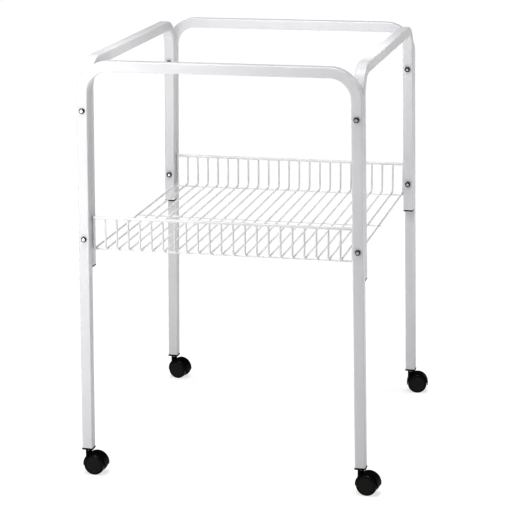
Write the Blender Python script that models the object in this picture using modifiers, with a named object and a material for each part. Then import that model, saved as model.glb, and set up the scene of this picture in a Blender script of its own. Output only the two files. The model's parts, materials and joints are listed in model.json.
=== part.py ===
"""Rolling stand for a bird cage.

Four inverted-U hoops of square steel tube are bolted together at the corners. Their level
tops make the ring that a cage stands on. A wire shelf hangs between the legs, and the long
legs of the front and back hoops run down to four twin-wheel swivel castors.

Units are metres, +Z is up and +X is to the right of someone facing the front hoop, which is
at -Y. The floor is z = 0.
"""

import math

import bmesh
import bpy
from mathutils import Matrix, Vector

# Frame
STAND_WIDTH = 0.529          # outside width of the front hoop at its top
STAND_DEPTH = 0.637          # front face of the front hoop to back face of the back hoop
STAND_HEIGHT = 0.8005        # floor to the upper face of the top bars
STAND_CENTRE_X = -0.0136     # the parked castors reach further right than the legs
LEG_LEAN = math.radians(0.86)
LEG_END = 0.0512             # height of the cut ends of the long legs
SHORT_LEG_END = 0.4089       # height of the cut ends of the side hoops' legs
TUBE = 0.020
TUBE_WALL = 0.0012
TUBE_EDGE = 0.0022           # outside radius along the tube's edges
BEND_RADIUS = 0.050          # to the middle of the tube
BEND_STEPS = 5
GAP = 0.0003                 # between pieces that touch
MERGE_DISTANCE = 0.000001    # of points that are one point

# Bolted joints
UPPER_BOLT_HEIGHT = 0.7076
LOWER_BOLT_HEIGHT = 0.4648
BOLT_RADIUS = 0.0029
BOLT_HOLE_RADIUS = 0.0033
BOLT_LENGTH = 0.0490         # under the head
BOLT_CHAMFER = 0.0005
BOLT_HEAD_RADIUS = 0.0051
BOLT_HEAD_HEIGHT = 0.0042
BOLT_HEAD_SHOULDER = 0.0016  # height of the head's straight side
NUT_ACROSS_FLATS = 0.010
NUT_HEIGHT = 0.005
SPACER_RADIUS = 0.0070

# Plugs in the open ends of the short legs
PLUG_RIM = 0.0024
PLUG_LENGTH = 0.012
PLUG_CORNER = 0.0012         # corner radius of the parts inside the tubes

# Wire shelf
WIRE_COUNT = 23
WIRE_RADIUS = 0.0018
RAIL_RADIUS = 0.0030
SHELF_HALF_WIDTH = 0.246     # to the middle of the end wires
FLOOR_WIRE_HEIGHT = 0.442
RAIL_HEIGHT = 0.503
WIRE_BEND_RADIUS = 0.008
CROSS_WIRE_INSET = 0.0130    # from the wall wires to the front and back cross wires
CROSS_WIRE_OVERHANG = 0.0022 # past the middle of the end wires
RAIL_OVERHANG = 0.0022
TAB_THICKNESS = 0.001
TAB_HALF_HEIGHT = 0.007
TAB_START = 0.0005           # from the middle of the end wire
WELD_DEPTH = 0.0008          # how far welded wires sink into each other

# Castors
WHEEL_RADIUS = 0.020
WHEEL_INNER_FACE = 0.0064    # from the castor's middle
WHEEL_OUTER_FACE = 0.0170
WHEEL_EDGE = 0.0008
WHEEL_DOME_RADIUS = 0.0162
WHEEL_DOME_DROP = 0.0008     # drops are measured down from the middle of the outer face
WHEEL_SHOULDER_RADIUS = 0.0190
WHEEL_SHOULDER_DROP = 0.0022
WHEEL_TREAD_DROP = 0.0046
WHEEL_HOLLOW_RADIUS = 0.0170
WHEEL_HOLLOW_TAPER = 0.0006
WHEEL_HOLLOW_DEPTH = 0.0060
WHEEL_HUB_RADIUS = 0.0052
CASTOR_TRAIL = 0.0145        # stem to axle
HOOD_RADIUS = 0.0225
HOOD_WALL = 0.0016
HOOD_HALF_WIDTH = 0.0120
HOOD_END_ANGLE = math.radians(8)
WEB_HALF_WIDTH = 0.0055
WEB_BOSS_RADIUS = 0.0085
WEB_BOSS_START = math.radians(200)
WEB_BOSS_END = math.radians(340)
NECK_RADIUS = 0.0060
NECK_TOP = 0.0446
NECK_FOOT = 0.0240
AXLE_RADIUS = 0.0025
AXLE_HALF_LENGTH = 0.0146
STEM_RADIUS = 0.0038
STEM_FOOT = 0.0285
STEM_TOP = 0.0735
STEM_CHAMFER = 0.0008
STEM_COLLAR_RADIUS = 0.0048
STEM_COLLAR_HEIGHT = 0.0010
SOCKET_FLANGE = 0.0216
SOCKET_FLANGE_HEIGHT = 0.0024
SOCKET_LENGTH = 0.0260       # of the part inside the leg
SOCKET_BORE_RADIUS = 0.0052
SOCKET_STEP = 0.0040         # from the leg's end up to the wider bore
GRIP_RING_WALL = 0.0005
GRIP_RING_HEIGHT = 0.0100
GRIP_RING_SLOT = 0.0022
GRIP_RING_FOOT = 0.0046      # above the leg's end
DOME_STEPS = 12

# Worked out from the sizes above
BAR_HEIGHT = STAND_HEIGHT - TUBE / 2
CORNER_X = STAND_WIDTH / 2 - TUBE / 2
TUBE_SPACING = TAB_THICKNESS + 2 * GAP
FRONT_HOOP_Y = -STAND_DEPTH / 2 + TUBE / 2
SIDE_LEG_Y = FRONT_HOOP_Y + TUBE + TUBE_SPACING
SHELF_WALL_Y = FRONT_HOOP_Y + TUBE / 2 + TUBE_SPACING / 2
TUBE_BORE = TUBE - 2 * TUBE_WALL
FLANGE_TOP = LEG_END - 2 * GAP

SIDES = {"left": -1, "right": 1}
ENDS = {"front": -1, "back": 1}

# The way each castor trails when the stand is parked, turned from +X towards +Y
CASTOR_HEADINGS = {
    "front_left": math.radians(-3),
    "front_right": math.radians(-8),
    "back_right": math.radians(8),
    "back_left": math.radians(-14),
}


def leg_x(height):
    """Distance from the stand's middle to the middle of a leg, at a height."""
    return CORNER_X + math.tan(LEG_LEAN) * (BAR_HEIGHT - height)


def clear_scene():
    for obj in list(bpy.data.objects):
        bpy.data.objects.remove(obj, do_unlink=True)


def new_collection(name, parent):
    collection = bpy.data.collections.new(name)
    parent.children.link(collection)
    return collection


def new_material(name, colour, roughness, metallic):
    material = bpy.data.materials.new(name)
    material.use_nodes = True
    shader = material.node_tree.nodes["Principled BSDF"]
    shader.inputs["Base Color"].default_value = (*colour, 1.0)
    shader.inputs["Roughness"].default_value = roughness
    shader.inputs["Metallic"].default_value = metallic
    material.diffuse_color = (*colour, 1.0)
    return material


clear_scene()
STAND = new_collection("bird_cage_stand", bpy.context.scene.collection)
CUTTERS = new_collection("cutters", bpy.context.scene.collection)
WHITE_PAINT = new_material("white_powder_coat", (0.86, 0.86, 0.87), 0.35, 0.0)
WHITE_WIRE = new_material("white_coated_wire", (0.88, 0.88, 0.89), 0.32, 0.0)
ZINC = new_material("zinc_plated_steel", (0.62, 0.63, 0.65), 0.3, 1.0)
BLACK_PLASTIC = new_material("black_plastic", (0.012, 0.012, 0.012), 0.4, 0.0)
BLACK_TREAD = new_material("black_wheel_plastic", (0.016, 0.016, 0.015), 0.35, 0.0)
SPACER_NYLON = new_material("nylon_spacer", (0.8, 0.8, 0.78), 0.5, 0.0)


def add_piece(name, mesh, material, matrix=None, parent=None):
    """A named object of the stand; matrix is its place under its parent, or in the world."""
    if not mesh.materials:
        mesh.materials.append(material)
    piece = bpy.data.objects.new(name, mesh)
    piece.parent = parent
    piece.matrix_basis = matrix if matrix is not None else Matrix.Identity(4)
    STAND.objects.link(piece)
    return piece


def cut(piece, cutter_mesh, matrix=None):
    """Takes the cutter's shape out of a piece, both placed under the same parent."""
    cutter = bpy.data.objects.new(piece.name + "_cutter", cutter_mesh)
    cutter.parent = piece.parent
    cutter.matrix_basis = matrix if matrix is not None else Matrix.Identity(4)
    cutter.hide_render = True
    cutter.display_type = "WIRE"
    CUTTERS.objects.link(cutter)
    boolean = piece.modifiers.new("cut", "BOOLEAN")
    boolean.operation = "DIFFERENCE"
    boolean.object = cutter


def join(piece, added_mesh, matrix=None):
    """Adds another shape to a piece, both placed under the same parent."""
    cut(piece, added_mesh, matrix)
    piece.modifiers[-1].name = "join"
    piece.modifiers[-1].operation = "UNION"


def smooth(mesh, angle=math.radians(35)):
    mesh.shade_smooth()
    mesh.set_sharp_from_angle(angle=angle)
    return mesh


def taken_mesh(obj):
    """The evaluated mesh of a helper object, with its caps welded; the object is removed."""
    bpy.context.view_layer.update()
    graph = bpy.context.evaluated_depsgraph_get()
    mesh = bpy.data.meshes.new_from_object(obj.evaluated_get(graph))
    bpy.data.objects.remove(obj, do_unlink=True)
    solid = bmesh.new()
    solid.from_mesh(mesh)
    bmesh.ops.remove_doubles(solid, verts=solid.verts, dist=MERGE_DISTANCE)
    bmesh.ops.recalc_face_normals(solid, faces=solid.faces)
    solid.to_mesh(mesh)
    solid.free()
    return smooth(mesh)


def copies(mesh, matrices):
    """One mesh that holds a copy of the given mesh at each place."""
    group = bmesh.new()
    for matrix in matrices:
        placed = mesh.copy()
        placed.transform(matrix)
        group.from_mesh(placed)
        bpy.data.meshes.remove(placed)
    result = bpy.data.meshes.new(mesh.name)
    group.to_mesh(result)
    group.free()
    return smooth(result)


def cylinder(radius, low, high, sides=16):
    """A cylinder along Z between two heights."""
    solid = bmesh.new()
    place = Matrix.Translation((0, 0, (low + high) / 2))
    bmesh.ops.create_cone(solid, cap_ends=True, segments=sides, radius1=radius,
                          radius2=radius, depth=high - low, matrix=place)
    mesh = bpy.data.meshes.new("cylinder")
    solid.to_mesh(mesh)
    solid.free()
    return smooth(mesh)


def turned(profile, steps):
    """A turned shape about Z; the profile of (radius, height) runs down its outer side."""
    outline = bmesh.new()
    points = [outline.verts.new((radius, 0, height)) for radius, height in profile]
    for first, second in zip(points, points[1:]):
        outline.edges.new((first, second))
    mesh = bpy.data.meshes.new("profile")
    outline.to_mesh(mesh)
    outline.free()
    helper = bpy.data.objects.new("profile", mesh)
    bpy.context.scene.collection.objects.link(helper)
    screw = helper.modifiers.new("turn", "SCREW")
    screw.steps = steps
    screw.render_steps = steps
    screw.use_merge_vertices = True
    screw.merge_threshold = MERGE_DISTANCE
    return taken_mesh(helper)


def flat_curve(outlines):
    """A filled 2D curve of closed outlines in its own XY plane."""
    curve = bpy.data.curves.new("outline", "CURVE")
    curve.dimensions = "2D"
    curve.fill_mode = "BOTH"
    for outline in outlines:
        spline = curve.splines.new("POLY")
        spline.points.add(len(outline) - 1)
        for point, (x, y) in zip(spline.points, outline):
            point.co = (x, y, 0, 1)
        spline.use_cyclic_u = True
    return curve


def plate(outlines, low, high):
    """A flat shape of one or more outlines, from one height to another along Z."""
    curve = flat_curve(outlines)
    curve.extrude = (high - low) / 2
    helper = bpy.data.objects.new("outline", curve)
    bpy.context.scene.collection.objects.link(helper)
    mesh = taken_mesh(helper)
    mesh.transform(Matrix.Translation((0, 0, (low + high) / 2)))
    return mesh


def arc(centre, radius, start, end, steps):
    """Points along an arc in a plane, both ends included."""
    return [
        (
            centre[0] + radius * math.cos(start + (end - start) * step / steps),
            centre[1] + radius * math.sin(start + (end - start) * step / steps),
        )
        for step in range(steps + 1)
    ]


def circle(radius, steps):
    return arc((0, 0), radius, 0, math.tau, steps)[:-1]


def rounded_square(width, corner, steps):
    """The outline of a square with rounded corners."""
    reach = width / 2 - corner
    centres = ((reach, reach), (-reach, reach), (-reach, -reach), (reach, -reach))
    points = []
    for quarter, centre in enumerate(centres):
        start = quarter * math.pi / 2
        points += arc(centre, corner, start, start + math.pi / 2, steps)
    return points


def rounded_corner(before, corner, after, radius, steps):
    """Points of the arc that rounds a corner between two straight runs in a plane."""
    corner = Vector(corner)
    into = (corner - Vector(before)).normalized()
    out = (Vector(after) - corner).normalized()
    turn = into.angle_signed(out)
    tangent = radius * math.tan(abs(turn) / 2)
    side = math.copysign(1, turn)
    inward = Vector((into.y, -into.x)) * side
    centre = corner - into * tangent + inward * radius
    start = math.atan2(-inward.y, -inward.x)
    return arc(centre, radius, start, start - turn, steps)


def hoop_path(half_width, half_spread, drop):
    """A hoop's middle line: up one leg, round two bends and down the other leg."""
    left_foot = (-half_spread, -drop)
    left_corner = (-half_width, 0)
    right_corner = (half_width, 0)
    right_foot = (half_spread, -drop)
    path = [left_foot]
    path += rounded_corner(left_foot, left_corner, right_corner, BEND_RADIUS, BEND_STEPS)
    path += rounded_corner(left_corner, right_corner, right_foot, BEND_RADIUS, BEND_STEPS)
    path.append(right_foot)
    return path


def bent_tube(path):
    """A square tube bent along a path in the XY plane, open at both ends."""
    section = flat_curve([rounded_square(TUBE, TUBE_EDGE, 1)[::-1]])
    section.fill_mode = "NONE"
    section_object = bpy.data.objects.new("section", section)
    bpy.context.scene.collection.objects.link(section_object)
    curve = bpy.data.curves.new("tube", "CURVE")
    curve.dimensions = "2D"
    curve.fill_mode = "NONE"
    curve.bevel_mode = "OBJECT"
    curve.bevel_object = section_object
    spline = curve.splines.new("POLY")
    spline.points.add(len(path) - 1)
    for point, (x, y) in zip(spline.points, path):
        point.co = (x, y, 0, 1)
    helper = bpy.data.objects.new("tube", curve)
    bpy.context.scene.collection.objects.link(helper)
    wall = helper.modifiers.new("wall", "SOLIDIFY")
    wall.thickness = TUBE_WALL
    wall.offset = -1
    wall.use_even_offset = True
    mesh = taken_mesh(helper)
    bpy.data.objects.remove(section_object, do_unlink=True)
    return mesh


def along_y(x, y, z):
    """Places a shape made along +Z so that it runs along +Y from a point."""
    return Matrix.Translation((x, y, z)) @ Matrix.Rotation(-math.pi / 2, 4, "X")


def facing_inward(end, x, y, z):
    """Places a shape made along +Z to run from the front or back towards the middle."""
    if end > 0:
        return Matrix.Translation((x, y, z)) @ Matrix.Rotation(math.pi / 2, 4, "X")
    return along_y(x, y, z)


def stand_x(x):
    return STAND_CENTRE_X + x


def bolt_holes(distances):
    """A cutter for the bolt holes through both legs at each distance along Y."""
    drill = cylinder(BOLT_HOLE_RADIUS, -TUBE, TUBE, sides=12)
    places = [
        along_y(stand_x(side * leg_x(height)), y, height)
        for height in (UPPER_BOLT_HEIGHT, LOWER_BOLT_HEIGHT)
        for side in SIDES.values()
        for y in distances
    ]
    return copies(drill, places)


def make_main_hoops():
    """The front and back hoops, whose long legs carry the castors."""
    drop = BAR_HEIGHT - LEG_END
    path = hoop_path(CORNER_X, leg_x(LEG_END), drop)
    upright = Matrix.Rotation(math.pi / 2, 4, "X")
    for end_name, end in ENDS.items():
        y = -end * FRONT_HOOP_Y
        tube = bent_tube(path)
        tube.transform(Matrix.Translation((stand_x(0), y, BAR_HEIGHT)) @ upright)
        hoop = add_piece(end_name + "_hoop", tube, WHITE_PAINT)
        cut(hoop, bolt_holes([y]))


def make_side_hoops():
    """The side hoops, whose short legs stand between those of the front and back hoops."""
    half = -SIDE_LEG_Y
    drop = (BAR_HEIGHT - SHORT_LEG_END) / math.cos(LEG_LEAN)
    path = hoop_path(half, half, drop)
    upright = Matrix.Rotation(math.pi / 2, 4, "Z") @ Matrix.Rotation(math.pi / 2, 4, "X")
    for side_name, side in SIDES.items():
        place = Matrix.Translation((stand_x(side * CORNER_X), 0, BAR_HEIGHT))
        lean = Matrix.Rotation(-side * LEG_LEAN, 4, "Y")
        tube = bent_tube(path)
        tube.transform(place @ lean @ upright)
        hoop = add_piece(side_name + "_hoop", tube, WHITE_PAINT)
        cut(hoop, bolt_holes([-half, half]))


def bolt_mesh():
    """A pan-head bolt along +Z, with the underside of its head at z = 0."""
    profile = [
        (0, BOLT_LENGTH),
        (BOLT_RADIUS - BOLT_CHAMFER, BOLT_LENGTH),
        (BOLT_RADIUS, BOLT_LENGTH - BOLT_CHAMFER),
        (BOLT_RADIUS, 0),
        (BOLT_HEAD_RADIUS, 0),
    ]
    crown = BOLT_HEAD_HEIGHT - BOLT_HEAD_SHOULDER
    for x, y in arc((0, 0), 1, 0, math.pi / 2, 3):
        profile.append((BOLT_HEAD_RADIUS * x, -BOLT_HEAD_SHOULDER - crown * y))
    return turned(profile, 12)


def corners():
    """The name and the two signs of each corner of the stand."""
    for side_name, side in SIDES.items():
        for end_name, end in ENDS.items():
            yield end_name + "_" + side_name, side, end


def make_fasteners():
    """The bolts and nuts of the four corners, and the spacers at the upper bolts."""
    bolt = bolt_mesh()
    corner_radius = NUT_ACROSS_FLATS / math.sqrt(3)
    nut = plate([circle(corner_radius, 6), circle(BOLT_HOLE_RADIUS, 12)], 0, NUT_HEIGHT)
    spacer = plate([circle(SPACER_RADIUS, 16), circle(BOLT_HOLE_RADIUS, 12)], 0, TAB_THICKNESS)
    head_y = FRONT_HOOP_Y - TUBE / 2 - GAP
    nut_y = SIDE_LEG_Y + TUBE / 2 + GAP
    spacer_y = FRONT_HOOP_Y + TUBE / 2 + GAP
    rows = (
        ("_upper_bolt", bolt, ZINC, head_y, UPPER_BOLT_HEIGHT),
        ("_lower_bolt", bolt, ZINC, head_y, LOWER_BOLT_HEIGHT),
        ("_upper_nut", nut, ZINC, nut_y, UPPER_BOLT_HEIGHT),
        ("_lower_nut", nut, ZINC, nut_y, LOWER_BOLT_HEIGHT),
        ("_spacer_washer", spacer, SPACER_NYLON, spacer_y, UPPER_BOLT_HEIGHT),
    )
    for corner, side, end in corners():
        for name, mesh, material, y, height in rows:
            place = facing_inward(end, stand_x(side * leg_x(height)), -end * y, height)
            add_piece(corner + name, mesh, material, place)


def make_leg_plugs():
    """The plugs that close the short legs' open ends."""
    rim = plate([rounded_square(TUBE, TUBE_EDGE, 2)], -PLUG_RIM, 0)
    body = plate([rounded_square(TUBE_BORE - 2 * GAP, PLUG_CORNER, 1)], -PLUG_RIM / 2, PLUG_LENGTH)
    for corner, side, end in corners():
        height = SHORT_LEG_END - GAP
        foot = (stand_x(side * leg_x(height)), -end * SIDE_LEG_Y, height)
        place = Matrix.Translation(foot) @ Matrix.Rotation(-side * LEG_LEAN, 4, "Y")
        plug = add_piece(corner + "_leg_plug", rim, BLACK_PLASTIC, place)
        join(plug, body, place)


def wires(paths, radius):
    """Round wires with closed ends, one along each path of points."""
    curve = bpy.data.curves.new("wire", "CURVE")
    curve.dimensions = "3D"
    curve.bevel_depth = radius
    curve.bevel_resolution = 1
    curve.use_fill_caps = True
    for path in paths:
        spline = curve.splines.new("POLY")
        spline.points.add(len(path) - 1)
        for point, place in zip(spline.points, path):
            point.co = (*place, 1)
    helper = bpy.data.objects.new("wire", curve)
    bpy.context.scene.collection.objects.link(helper)
    return taken_mesh(helper)


def straight_wires(rows, half_length, radius):
    """Wires across the shelf, each at a distance y and a height z."""
    ends = (stand_x(-half_length), stand_x(half_length))
    return wires([[(x, y, z) for x in ends] for y, z in rows], radius)


def basket_wires():
    """The bent wires: up at the front, along the shelf's floor and up at the back."""
    wall = -SHELF_WALL_Y
    top = RAIL_HEIGHT - RAIL_RADIUS - GAP
    turns = ((-wall, top), (-wall, FLOOR_WIRE_HEIGHT), (wall, FLOOR_WIRE_HEIGHT), (wall, top))
    outline = [turns[0]]
    outline += rounded_corner(*turns[0:3], WIRE_BEND_RADIUS, 2)
    outline += rounded_corner(*turns[1:4], WIRE_BEND_RADIUS, 2)
    outline.append(turns[3])
    pitch = 2 * SHELF_HALF_WIDTH / (WIRE_COUNT - 1)
    places = [stand_x(-SHELF_HALF_WIDTH + pitch * number) for number in range(WIRE_COUNT)]
    return wires([[(x, y, z) for y, z in outline] for x in places], WIRE_RADIUS)


def shelf_tabs():
    """The tabs on the end wires that the lower bolts clamp between the paired legs."""
    inner = SHELF_HALF_WIDTH + TAB_START
    centre = leg_x(LOWER_BOLT_HEIGHT)
    outline = [(inner, -TAB_HALF_HEIGHT)]
    outline += arc((centre, 0), TAB_HALF_HEIGHT, -math.pi / 2, math.pi / 2, 8)
    outline.append((inner, TAB_HALF_HEIGHT))
    hole = [(centre + x, y) for x, y in circle(BOLT_HOLE_RADIUS, 12)]
    tab = plate([outline, hole], -TAB_THICKNESS / 2, TAB_THICKNESS / 2)
    upright = Matrix.Rotation(math.pi / 2, 4, "X")
    half_turn = Matrix.Rotation(math.pi, 4, "Z")
    places = []
    for _, side, end in corners():
        place = Matrix.Translation((stand_x(0), -end * SHELF_WALL_Y, LOWER_BOLT_HEIGHT))
        places.append(place @ upright if side > 0 else place @ half_turn @ upright)
    return copies(tab, places)


def make_shelf():
    """The welded wire shelf, and the two thicker rails along the tops of its walls."""
    cross_height = FLOOR_WIRE_HEIGHT - 2 * WIRE_RADIUS + WELD_DEPTH
    cross_distances = (SHELF_WALL_Y + CROSS_WIRE_INSET, 0, -SHELF_WALL_Y - CROSS_WIRE_INSET)
    cross_rows = [(y, cross_height) for y in cross_distances]
    grid = add_piece("shelf_wire_grid", basket_wires(), WHITE_WIRE)
    join(grid, straight_wires(cross_rows, SHELF_HALF_WIDTH + CROSS_WIRE_OVERHANG, WIRE_RADIUS))
    join(grid, shelf_tabs())
    for end_name, end in ENDS.items():
        row = (-end * SHELF_WALL_Y, RAIL_HEIGHT)
        rail = straight_wires([row], SHELF_HALF_WIDTH + RAIL_OVERHANG, RAIL_RADIUS)
        add_piece("shelf_" + end_name + "_rail", rail, WHITE_WIRE)


def stem_mesh():
    """The castor's stem along Z, with the collar that stops it under the socket."""
    collar_top = FLANGE_TOP - SOCKET_FLANGE_HEIGHT - GAP
    collar_foot = collar_top - STEM_COLLAR_HEIGHT
    profile = [
        (0, STEM_TOP),
        (STEM_RADIUS - STEM_CHAMFER, STEM_TOP),
        (STEM_RADIUS, STEM_TOP - STEM_CHAMFER),
        (STEM_RADIUS, collar_top),
        (STEM_COLLAR_RADIUS, collar_top),
        (STEM_COLLAR_RADIUS, collar_foot),
        (STEM_RADIUS, collar_foot),
        (STEM_RADIUS, STEM_FOOT),
        (0, STEM_FOOT),
    ]
    return turned(profile, 12)


def wheel_mesh():
    """A castor wheel along +Z: its inner face is at z = 0 and its domed face on top."""
    thickness = WHEEL_OUTER_FACE - WHEEL_INNER_FACE
    bore = AXLE_RADIUS + GAP
    bore_end = AXLE_HALF_LENGTH + GAP - WHEEL_INNER_FACE
    profile = [
        (0, thickness),
        (WHEEL_DOME_RADIUS, thickness - WHEEL_DOME_DROP),
        (WHEEL_SHOULDER_RADIUS, thickness - WHEEL_SHOULDER_DROP),
        (WHEEL_RADIUS, thickness - WHEEL_TREAD_DROP),
        (WHEEL_RADIUS, WHEEL_EDGE),
        (WHEEL_RADIUS - WHEEL_EDGE, 0),
        (WHEEL_HOLLOW_RADIUS, 0),
        (WHEEL_HOLLOW_RADIUS - WHEEL_HOLLOW_TAPER, WHEEL_HOLLOW_DEPTH),
        (WHEEL_HUB_RADIUS, WHEEL_HOLLOW_DEPTH + WHEEL_HOLLOW_TAPER),
        (WHEEL_HUB_RADIUS, 0),
        (bore, 0),
        (bore, bore_end),
        (0, bore_end),
    ]
    return turned(profile, 20)


def grip_ring_mesh():
    """A split ring that grips the stem inside its socket, with its foot at z = 0."""
    inner = STEM_RADIUS + GAP
    outer = inner + GRIP_RING_WALL
    half_slot = math.asin(GRIP_RING_SLOT / 2 / outer)
    outline = arc((0, 0), outer, half_slot, math.tau - half_slot, 10)
    outline += arc((0, 0), inner, math.tau - half_slot, half_slot, 10)
    return plate([outline], 0, GRIP_RING_HEIGHT)


def hood_section(radius, boss_radius):
    """The side outline of the hood's middle: a dome over a round boss at the axle."""
    start = -HOOD_END_ANGLE
    dome = arc((0, 0), radius, start, math.pi - start, DOME_STEPS)
    boss = arc((0, 0), boss_radius, WEB_BOSS_START, WEB_BOSS_END, 6)
    return dome + boss


def hood_mesh():
    """The castor's body: a fender over the wheels, the web between them and the neck."""
    upright = Matrix.Translation((CASTOR_TRAIL, 0, WHEEL_RADIUS)) @ Matrix.Rotation(math.pi / 2, 4, "X")
    start = -HOOD_END_ANGLE
    fender = arc((0, 0), HOOD_RADIUS, start, math.pi - start, DOME_STEPS)
    fender += arc((0, 0), HOOD_RADIUS - HOOD_WALL, math.pi - start, start, DOME_STEPS)
    shell = plate([fender], -HOOD_HALF_WIDTH, HOOD_HALF_WIDTH)
    shell.transform(upright)
    hood = add_piece("castor_hood", shell, BLACK_PLASTIC)
    web = plate([hood_section(HOOD_RADIUS - HOOD_WALL / 2, WEB_BOSS_RADIUS)],
                -WEB_HALF_WIDTH, WEB_HALF_WIDTH)
    join(hood, web, upright)
    join(hood, cylinder(NECK_RADIUS, NECK_FOOT, NECK_TOP, sides=12))
    cut(hood, cylinder(STEM_RADIUS + GAP, STEM_FOOT - GAP, LEG_END, sides=12))
    bore = cylinder(AXLE_RADIUS + GAP, -2 * HOOD_HALF_WIDTH, 2 * HOOD_HALF_WIDTH)
    cut(hood, bore, upright)
    return taken_mesh(hood)


def make_socket(name, foot, lean):
    """The plug in the leg's end that holds the stem; foot is where the stem's axis meets it."""
    place = Matrix.Translation((*foot, FLANGE_TOP)) @ lean
    flange = plate([rounded_square(SOCKET_FLANGE, TUBE_EDGE, 2)], -SOCKET_FLANGE_HEIGHT, 0)
    body = plate([rounded_square(TUBE_BORE - 2 * GAP, PLUG_CORNER, 1)],
                 -SOCKET_FLANGE_HEIGHT / 2, SOCKET_LENGTH)
    socket = add_piece(name + "_castor_socket", flange, BLACK_PLASTIC, place)
    join(socket, body, place)
    below = Matrix.Translation((*foot, 0))
    step = LEG_END + SOCKET_STEP
    cut(socket, cylinder(STEM_RADIUS + GAP, NECK_TOP, step + GAP, sides=12), below)
    cut(socket, cylinder(SOCKET_BORE_RADIUS, step, STEM_TOP + GAP, sides=12), below)


def make_castor(name, side, end, hood):
    """One castor, parked with its wheels trailing along its own heading."""
    foot = (stand_x(side * leg_x(LEG_END)), -end * FRONT_HOOP_Y)
    lean = Matrix.Rotation(-side * LEG_LEAN, 4, "Y")
    make_socket(name, foot, lean)
    stem_place = Matrix.Translation((*foot, 0))
    add_piece(name + "_castor_stem", stem_mesh(), ZINC, stem_place)
    ring_place = Matrix.Translation((*foot, LEG_END + GRIP_RING_FOOT))
    add_piece(name + "_castor_grip_ring", grip_ring_mesh(), ZINC, ring_place)

    castor = bpy.data.objects.new(name + "_castor", None)
    castor.matrix_basis = stem_place @ Matrix.Rotation(CASTOR_HEADINGS[name], 4, "Z")
    STAND.objects.link(castor)
    add_piece(name + "_castor_hood", hood, BLACK_PLASTIC, parent=castor)
    axle_place = along_y(CASTOR_TRAIL, 0, WHEEL_RADIUS)
    axle = cylinder(AXLE_RADIUS, -AXLE_HALF_LENGTH, AXLE_HALF_LENGTH)
    add_piece(name + "_castor_axle", axle, ZINC, axle_place, castor)
    for wheel_name, wheel_end in ENDS.items():
        place = facing_inward(-wheel_end, CASTOR_TRAIL, wheel_end * WHEEL_INNER_FACE, WHEEL_RADIUS)
        full_name = name + "_castor_" + wheel_name + "_wheel"
        add_piece(full_name, wheel_mesh(), BLACK_TREAD, place, castor)


def make_stand():
    make_main_hoops()
    make_side_hoops()
    make_fasteners()
    make_leg_plugs()
    make_shelf()
    hood = hood_mesh()
    for corner, side, end in corners():
        make_castor(corner, side, end, hood)
    bpy.context.view_layer.update()


make_stand()
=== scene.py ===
"""The looks of a rolling bird cage stand: fine meshes, finishes, light and camera.

Every piece stands for a CAD node and takes its place from that node's box. Units are metres,
+Z is up, the floor is z = 0 and the front hoop is at -Y.
"""

import json
import math

import bmesh
import bpy
from mathutils import Matrix, Vector

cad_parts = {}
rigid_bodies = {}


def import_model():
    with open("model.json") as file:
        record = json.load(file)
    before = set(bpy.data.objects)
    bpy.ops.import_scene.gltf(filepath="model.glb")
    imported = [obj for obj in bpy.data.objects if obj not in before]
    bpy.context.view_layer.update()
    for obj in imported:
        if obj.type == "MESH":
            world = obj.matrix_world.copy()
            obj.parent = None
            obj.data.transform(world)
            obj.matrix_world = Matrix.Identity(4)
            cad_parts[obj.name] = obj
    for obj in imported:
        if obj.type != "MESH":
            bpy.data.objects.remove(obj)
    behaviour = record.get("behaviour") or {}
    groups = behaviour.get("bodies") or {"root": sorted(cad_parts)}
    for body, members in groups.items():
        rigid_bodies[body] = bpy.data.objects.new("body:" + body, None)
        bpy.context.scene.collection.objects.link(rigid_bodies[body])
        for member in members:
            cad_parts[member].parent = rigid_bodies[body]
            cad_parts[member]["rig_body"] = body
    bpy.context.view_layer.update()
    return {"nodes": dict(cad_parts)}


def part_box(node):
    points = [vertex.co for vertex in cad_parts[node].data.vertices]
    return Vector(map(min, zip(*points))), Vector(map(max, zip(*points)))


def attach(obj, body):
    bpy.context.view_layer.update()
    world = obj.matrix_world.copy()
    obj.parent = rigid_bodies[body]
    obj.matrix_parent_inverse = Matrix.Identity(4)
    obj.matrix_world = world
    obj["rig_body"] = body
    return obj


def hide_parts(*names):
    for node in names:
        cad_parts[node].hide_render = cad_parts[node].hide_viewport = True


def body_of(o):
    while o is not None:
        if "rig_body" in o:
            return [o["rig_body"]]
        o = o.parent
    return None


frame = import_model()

# Square tube
TUBE = 0.020
TUBE_WALL = 0.0012
TUBE_EDGE = 0.0022           # outside radius along the tube's edges
TUBE_BORE = TUBE - 2 * TUBE_WALL
BEND_RADIUS = 0.050          # to the middle of the tube
BEND_STEPS = 22
BEND_SINK = 0.0005           # how far the inner face is drawn in at the middle of a bend
STRAIGHT_STEP = 0.055        # between the rings along a straight run
EDGE_STEPS = 4
FACE_STEPS = 4
LEG_LEAN = math.radians(0.86)

# Wire shelf
WIRE_COUNT = 23
WIRE_RADIUS = 0.0018
RAIL_RADIUS = 0.0030
WIRE_BEND_RADIUS = 0.008
CROSS_WIRE_INSET = 0.0130    # from the wall wires to the front and back cross wires
WIRE_OVERHANG = 0.0022       # of the rails and cross wires past the end wires
TAB_THICKNESS = 0.001
TAB_HALF_HEIGHT = 0.007
TAB_INSET = 0.0005           # how far a tab stops short of the middle of the end wire
WELD_DEPTH = 0.0008          # how far crossing wires sink into each other
FLOOR_BEAD = (0.0021, 0.0012)    # half length and half depth of each kind of weld bead
TAB_BEAD = (0.0010, 0.0020)
RAIL_BEAD = (0.0026, 0.0009)
TAB_BEAD_HEIGHT = 0.005      # above and below the lower bolt

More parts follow.
